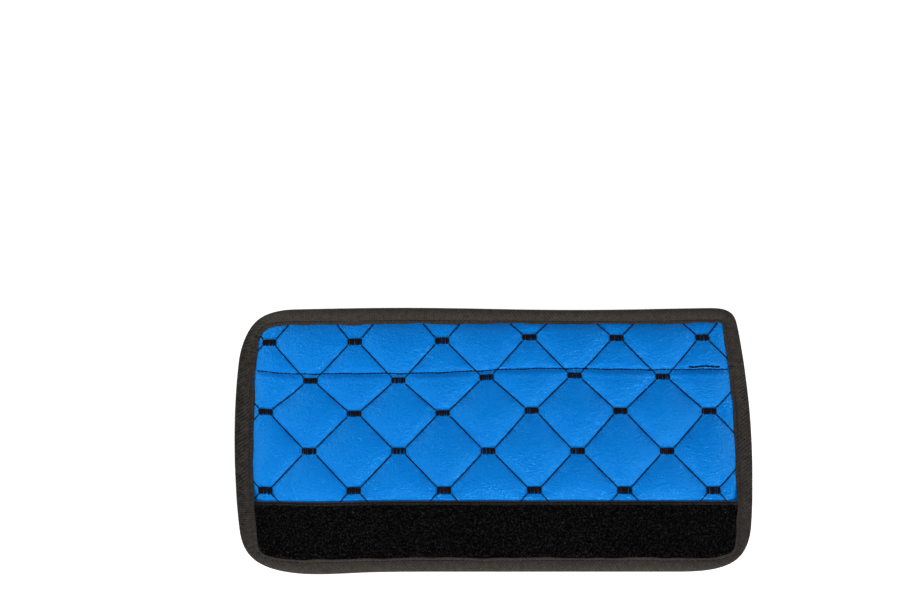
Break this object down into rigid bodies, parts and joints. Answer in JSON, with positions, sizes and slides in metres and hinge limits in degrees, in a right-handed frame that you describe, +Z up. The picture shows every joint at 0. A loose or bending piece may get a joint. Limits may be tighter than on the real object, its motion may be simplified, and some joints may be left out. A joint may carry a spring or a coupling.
{
  "type": "seat belt shoulder pad",
  "caption": "Quilted wrap-around shoulder pad for a car seat belt, opened flat: padded leatherette face, bound edge, a loop strip along one side and a hook strip on the back.",
  "frame": {"origin": "on the surface the pad lies on, under the middle of its overall length and depth", "axes": "+X along the length of the pad, which is the way the belt runs; +Y across it, from the loop strip to the hook strip's edge; +Z up, out of the quilted face"},
  "size_m": [0.2918, 0.1494, 0.0103],
  "materials": {
    "leatherette": "satin, fine grain",
    "foam": "soft open-cell foam",
    "lining_cloth": "matt non-woven cloth",
    "binding_tape": "woven tape",
    "loop_tape": "soft brushed loop pile",
    "hook_tape": "stiff hook tape",
    "thread": "polyester thread"
  },
  "bodies": {
    "root": {"outer_cover": "leatherette", "foam_layer": "foam", "lining": "lining_cloth", "edge_binding": "binding_tape", "loop_strip": "loop_tape", "hook_strip": "hook_tape", "needle_thread": "thread", "bobbin_thread": "thread", "binding_stitch": "thread", "hook_strip_seam": "thread", "loop_strip_seam": "thread"}
  },
  "joints": []
}
